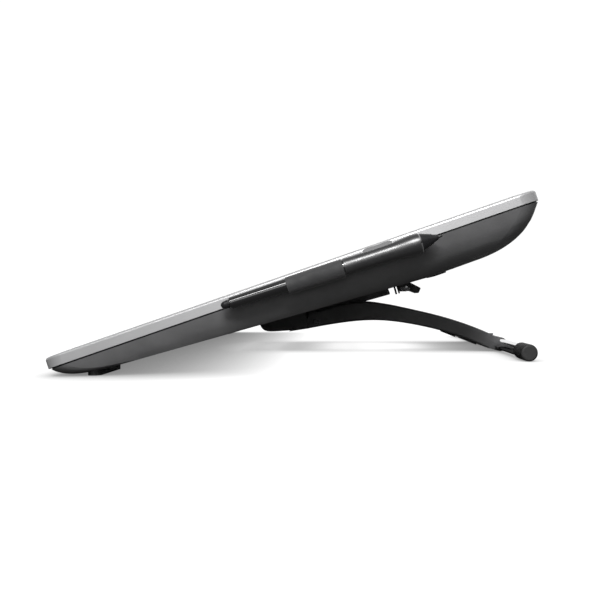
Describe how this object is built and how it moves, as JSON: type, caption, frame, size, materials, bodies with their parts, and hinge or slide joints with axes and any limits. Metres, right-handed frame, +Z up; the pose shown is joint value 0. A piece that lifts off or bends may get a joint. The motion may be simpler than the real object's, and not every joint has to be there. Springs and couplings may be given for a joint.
{
  "type": "pen drawing tablet",
  "caption": "Pen display tablet with a convex back, side keys, a pen in a loop, and a turning, tilting stand on a round cross bar.",
  "frame": {"origin": "centre of the whole object's footprint, at the table it stands on", "axes": "+X to the user's right along the tablet's width, +Y away from the user towards the raised rear edge, +Z up"},
  "size_m": [0.666, 0.4214, 0.1461],
  "materials": {
    "cover": "satin",
    "bezel": "satin",
    "glass": "anti-glare",
    "lcd": "gloss",
    "sheet_metal": "satin",
    "board": "satin",
    "silicone": "matte",
    "screw": "satin",
    "lens": "gloss",
    "strip": "gloss",
    "port_metal": "satin",
    "rubber": "matte",
    "polymer": "satin",
    "brass": "satin",
    "elastic": "woven",
    "plate_steel": "satin",
    "stand": "satin",
    "bracket": "satin",
    "spring_steel": "bright",
    "bronze": "satin",
    "stand_trim": "satin",
    "chrome": "polished",
    "lever": "satin",
    "rod_steel": "satin",
    "pen_gloss": "gloss",
    "pen_grip": "satin",
    "pen_satin": "satin",
    "pen_switch": "gloss",
    "nib": "matte",
    "key": "satin"
  },
  "bodies": {
    "tablet": {"rear_cover": "cover", "front_bezel": "bezel", "screen_glass": "glass", "lcd_panel": "lcd", "backlight_unit": "sheet_metal", "digitizer_board": "board", "inner_chassis": "sheet_metal", "main_board": "board", "power_board": "board", "key_boards": "board", "key_domes": "silicone", "board_screws": "screw", "case_screws": "screw", "status_light": "lens", "touch_strips": "strip", "port_block": "port_metal", "rubber_feet": "rubber", "turntable_bearing": "polymer", "mount_bushes": "brass", "pen_loop": "elastic"},
    "left_key_1": {"left_key_1": "key"},
    "left_key_2": {"left_key_2": "key"},
    "left_key_3": {"left_key_3": "key"},
    "left_key_4": {"left_key_4": "key"},
    "left_key_5": {"left_key_5": "key"},
    "left_key_6": {"left_key_6": "key"},
    "right_key_1": {"right_key_1": "key"},
    "right_key_2": {"right_key_2": "key"},
    "right_key_3": {"right_key_3": "key"},
    "right_key_4": {"right_key_4": "key"},
    "right_key_5": {"right_key_5": "key"},
    "right_key_6": {"right_key_6": "key"},
    "left_toggle": {"left_toggle": "key"},
    "right_toggle": {"right_toggle": "key"},
    "power_key": {"power_key": "key"},
    "stand": {"turntable_plate": "plate_steel", "keeper_disc": "plate_steel", "stand_screws": "screw", "stand_base": "stand", "hinge_pin": "plate_steel", "lever_bracket": "bracket", "lever_pin": "plate_steel", "lever_spring": "spring_steel"},
    "leg": {"leg_frame": "stand", "hinge_bushes": "bronze", "hinge_caps": "stand_trim", "leg_pads": "rubber", "cross_bar": "chrome", "bar_caps": "rubber", "bar_screws": "screw"},
    "lever": {"release_lever": "lever"},
    "rod": {"lock_rod": "rod_steel"},
    "pen": {"pen_barrel": "pen_gloss", "pen_core": "board", "pen_grip": "pen_grip", "pen_ring": "chrome", "pen_cone": "pen_satin"},
    "rocker": {"pen_switch": "pen_switch"},
    "eraser": {"pen_eraser": "pen_satin"},
    "nib": {"pen_nib": "nib"}
  },
  "joints": [
    {"name": "stand_turn", "type": "hinge", "parent": "tablet", "child": "stand", "pos_m": [-0.008, 0.00129, 0.05182], "axis": [0, -0.2718, 0.9624], "range_deg": [-180, 180]},
    {"name": "leg_tilt", "type": "hinge", "parent": "stand", "child": "leg", "pos_m": [-0.008, -0.00659, 0.03411], "axis": [-1, 0, 0], "range_deg": [-11, 80]},
    {"name": "lever_squeeze", "type": "hinge", "parent": "stand", "child": "lever", "pos_m": [-0.008, 0.10095, 0.07425], "axis": [1, 0, 0], "range_deg": [0, 15], "stiffness_Nm_per_rad": 0.4, "springref_deg": -8.59},
    {"name": "rod_slide", "type": "slide", "parent": "stand", "child": "rod", "axis": [0, -0.9624, -0.2718], "range_m": [0, 0.0007]},
    {"name": "pen_pull", "type": "slide", "parent": "tablet", "child": "pen", "axis": [0, 0.9528, 0.3035], "range_m": [0, 0.105]},
    {"name": "rocker_press", "type": "hinge", "parent": "pen", "child": "rocker", "pos_m": [0.3253, 0.05068, 0.0981], "axis": [1, 0, 0], "range_deg": [-2.5, 2.5], "stiffness_Nm_per_rad": 0.02},
    {"name": "nib_press", "type": "slide", "parent": "pen", "child": "nib", "axis": [0, -0.9528, -0.3035], "range_m": [0, 0.0006], "stiffness_N_per_m": 800},
    {"name": "eraser_press", "type": "slide", "parent": "pen", "child": "eraser", "axis": [0, 0.9528, 0.3035], "range_m": [0, 0.0002], "stiffness_N_per_m": 800},
    {"name": "left_key_1_press", "type": "slide", "parent": "tablet", "child": "left_key_1", "axis": [0, 0.3262, -0.9453], "range_m": [0, 0.0008], "stiffness_N_per_m": 700},
    {"name": "left_key_2_press", "type": "slide", "parent": "tablet", "child": "left_key_2", "axis": [0, 0.3262, -0.9453], "range_m": [0, 0.0008], "stiffness_N_per_m": 700},
    {"name": "left_key_3_press", "type": "slide", "parent": "tablet", "child": "left_key_3", "axis": [0, 0.3262, -0.9453], "range_m": [0, 0.0008], "stiffness_N_per_m": 700},
    {"name": "left_key_4_press", "type": "slide", "parent": "tablet", "child": "left_key_4", "axis": [0, 0.3262, -0.9453], "range_m": [0, 0.0008], "stiffness_N_per_m": 700},
    {"name": "left_key_5_press", "type": "slide", "parent": "tablet", "child": "left_key_5", "axis": [0, 0.3262, -0.9453], "range_m": [0, 0.0008], "stiffness_N_per_m": 700},
    {"name": "left_key_6_press", "type": "slide", "parent": "tablet", "child": "left_key_6", "axis": [0, 0.3262, -0.9453], "range_m": [0, 0.0008], "stiffness_N_per_m": 700},
    {"name": "right_key_1_press", "type": "slide", "parent": "tablet", "child": "right_key_1", "axis": [0, 0.3262, -0.9453], "range_m": [0, 0.0008], "stiffness_N_per_m": 700},
    {"name": "right_key_2_press", "type": "slide", "parent": "tablet", "child": "right_key_2", "axis": [0, 0.3262, -0.9453], "range_m": [0, 0.0008], "stiffness_N_per_m": 700},
    {"name": "right_key_3_press", "type": "slide", "parent": "tablet", "child": "right_key_3", "axis": [0, 0.3262, -0.9453], "range_m": [0, 0.0008], "stiffness_N_per_m": 700},
    {"name": "right_key_4_press", "type": "slide", "parent": "tablet", "child": "right_key_4", "axis": [0, 0.3262, -0.9453], "range_m": [0, 0.0008], "stiffness_N_per_m": 700},
    {"name": "right_key_5_press", "type": "slide", "parent": "tablet", "child": "right_key_5", "axis": [0, 0.3262, -0.9453], "range_m": [0, 0.0008], "stiffness_N_per_m": 700},
    {"name": "right_key_6_press", "type": "slide", "parent": "tablet", "child": "right_key_6", "axis": [0, 0.3262, -0.9453], "range_m": [0, 0.0008], "stiffness_N_per_m": 700},
    {"name": "left_toggle_press", "type": "slide", "parent": "tablet", "child": "left_toggle", "axis": [0, 0.3262, -0.9453], "range_m": [0, 0.0008], "stiffness_N_per_m": 700},
    {"name": "right_toggle_press", "type": "slide", "parent": "tablet", "child": "right_toggle", "axis": [0, 0.3262, -0.9453], "range_m": [0, 0.0008], "stiffness_N_per_m": 700},
    {"name": "power_key_press", "type": "slide", "parent": "tablet", "child": "power_key", "axis": [0, 0.3262, -0.9453], "range_m": [0, 0.0008], "stiffness_N_per_m": 700}
  ],
  "couplings": [
    {"joint": "rod_slide", "follows": "lever_squeeze", "m_per_rad": 0.00267}
  ]
}
